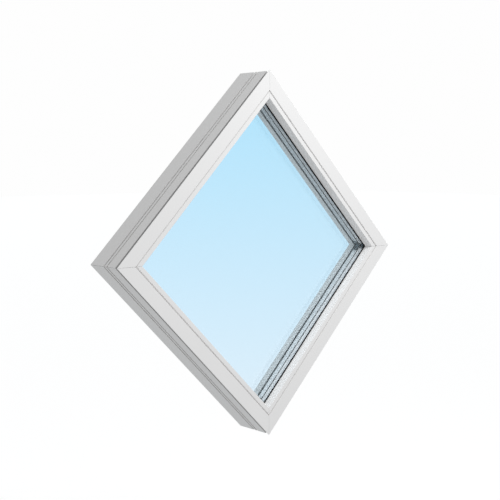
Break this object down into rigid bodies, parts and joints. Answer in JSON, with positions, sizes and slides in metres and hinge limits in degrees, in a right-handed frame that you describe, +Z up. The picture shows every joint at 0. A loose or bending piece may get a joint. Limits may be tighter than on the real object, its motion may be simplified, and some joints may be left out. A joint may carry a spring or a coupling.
{
  "type": "diamond fixed window",
  "caption": "Square fixed window set on its corner: deep painted frame with grooved sides, mitred aluminium cladding and glazing beads, and sealed triple glazing.",
  "frame": {"origin": "on the outer side of the lower left frame member, midway along it and midway between its rear groove and its room face", "axes": "+X to the right seen from outside, +Y through the wall towards the room, +Z up; the window stands on a corner, so its diagonals are along X and Z"},
  "size_m": [0.9613, 0.115, 0.9613],
  "materials": {
    "frame_paint": "white opaque paint, satin",
    "coated_aluminium": "white powder coat, satin",
    "pane_glass": "clear, faint blue coating",
    "spacer_metal": "satin mill finish",
    "gasket_rubber": "matt black",
    "edge_sealant": "matt dark grey",
    "block_plastic": "matt black"
  },
  "bodies": {
    "root": {"frame_upper_right": "frame_paint", "frame_upper_left": "frame_paint", "frame_lower_left": "frame_paint", "frame_lower_right": "frame_paint", "cladding_upper_right": "coated_aluminium", "cladding_upper_left": "coated_aluminium", "cladding_lower_left": "coated_aluminium", "cladding_lower_right": "coated_aluminium", "bead_upper_right": "coated_aluminium", "bead_upper_left": "coated_aluminium", "bead_lower_left": "coated_aluminium", "bead_lower_right": "coated_aluminium", "outer_gasket_upper_right": "gasket_rubber", "outer_gasket_upper_left": "gasket_rubber", "outer_gasket_lower_left": "gasket_rubber", "outer_gasket_lower_right": "gasket_rubber", "inner_gasket_upper_right": "gasket_rubber", "inner_gasket_upper_left": "gasket_rubber", "inner_gasket_lower_left": "gasket_rubber", "inner_gasket_lower_right": "gasket_rubber", "outer_spacer_upper_right": "spacer_metal", "outer_spacer_upper_left": "spacer_metal", "outer_spacer_lower_left": "spacer_metal", "outer_spacer_lower_right": "spacer_metal", "inner_spacer_upper_right": "spacer_metal", "inner_spacer_upper_left": "spacer_metal", "inner_spacer_lower_left": "spacer_metal", "inner_spacer_lower_right": "spacer_metal", "outer_edge_seal_upper_right": "edge_sealant", "outer_edge_seal_upper_left": "edge_sealant", "outer_edge_seal_lower_left": "edge_sealant", "outer_edge_seal_lower_right": "edge_sealant", "inner_edge_seal_upper_right": "edge_sealant", "inner_edge_seal_upper_left": "edge_sealant", "inner_edge_seal_lower_left": "edge_sealant", "inner_edge_seal_lower_right": "edge_sealant", "setting_blocks_lower_left": "block_plastic", "setting_blocks_lower_right": "block_plastic", "outer_pane": "pane_glass", "middle_pane": "pane_glass", "inner_pane": "pane_glass"}
  },
  "joints": []
}
